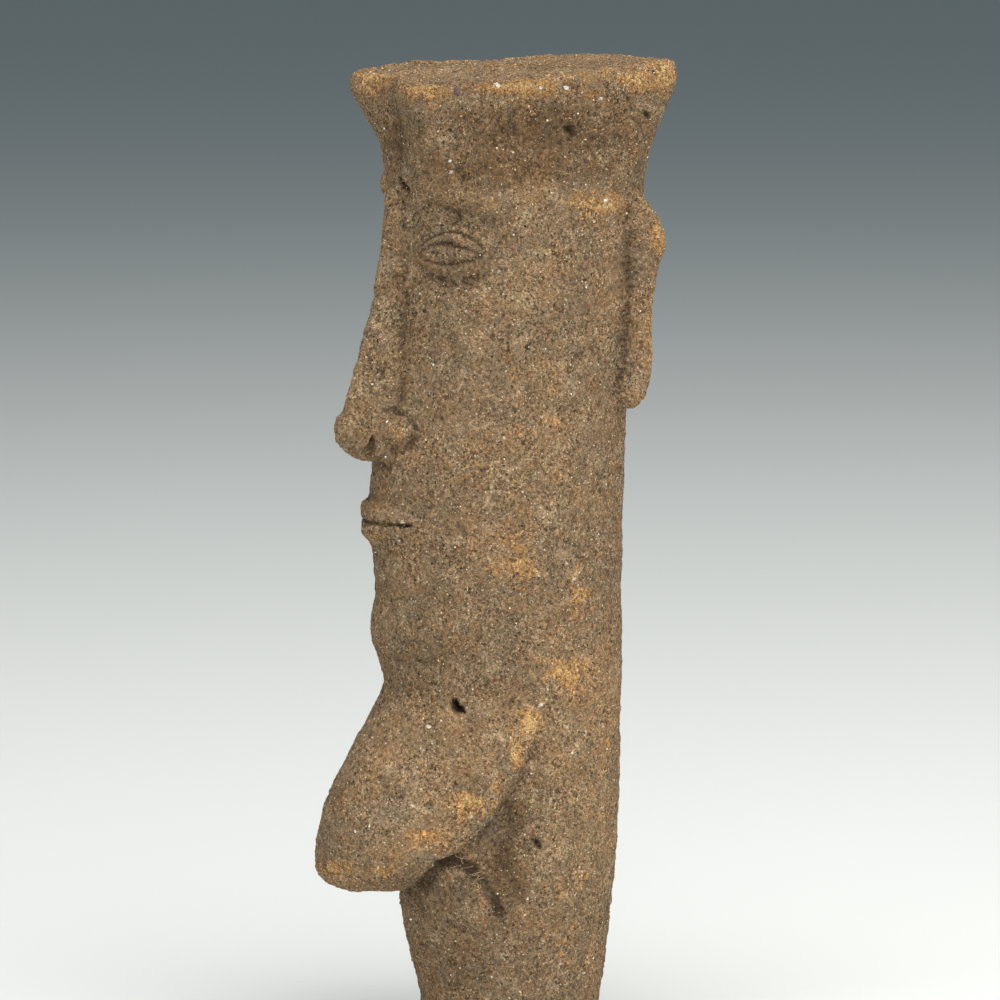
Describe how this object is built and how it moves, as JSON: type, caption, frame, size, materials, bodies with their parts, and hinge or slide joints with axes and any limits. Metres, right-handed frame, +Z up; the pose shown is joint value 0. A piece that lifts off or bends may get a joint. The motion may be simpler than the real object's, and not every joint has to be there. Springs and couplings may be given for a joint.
{
  "type": "terracotta funerary figure",
  "caption": "Hand-modelled terracotta head on a tapering column, with a flared four-cornered cap, long ears and a heavy jutting beard, standing on a flat underside",
  "frame": {"origin": "middle of the flat underside, on the column's axis at the foot", "axes": "+Z up along the column, -Y the way the face looks, +X the figure's own left"},
  "size_m": [0.0484, 0.086, 0.2387],
  "materials": {
    "fired_clay": "unglazed grey-brown earthenware, coarse with sand and grit, worn to ochre on the edges, with soil in the hollows"
  },
  "bodies": {
    "root": {"terracotta_figure": "fired_clay"}
  },
  "joints": []
}
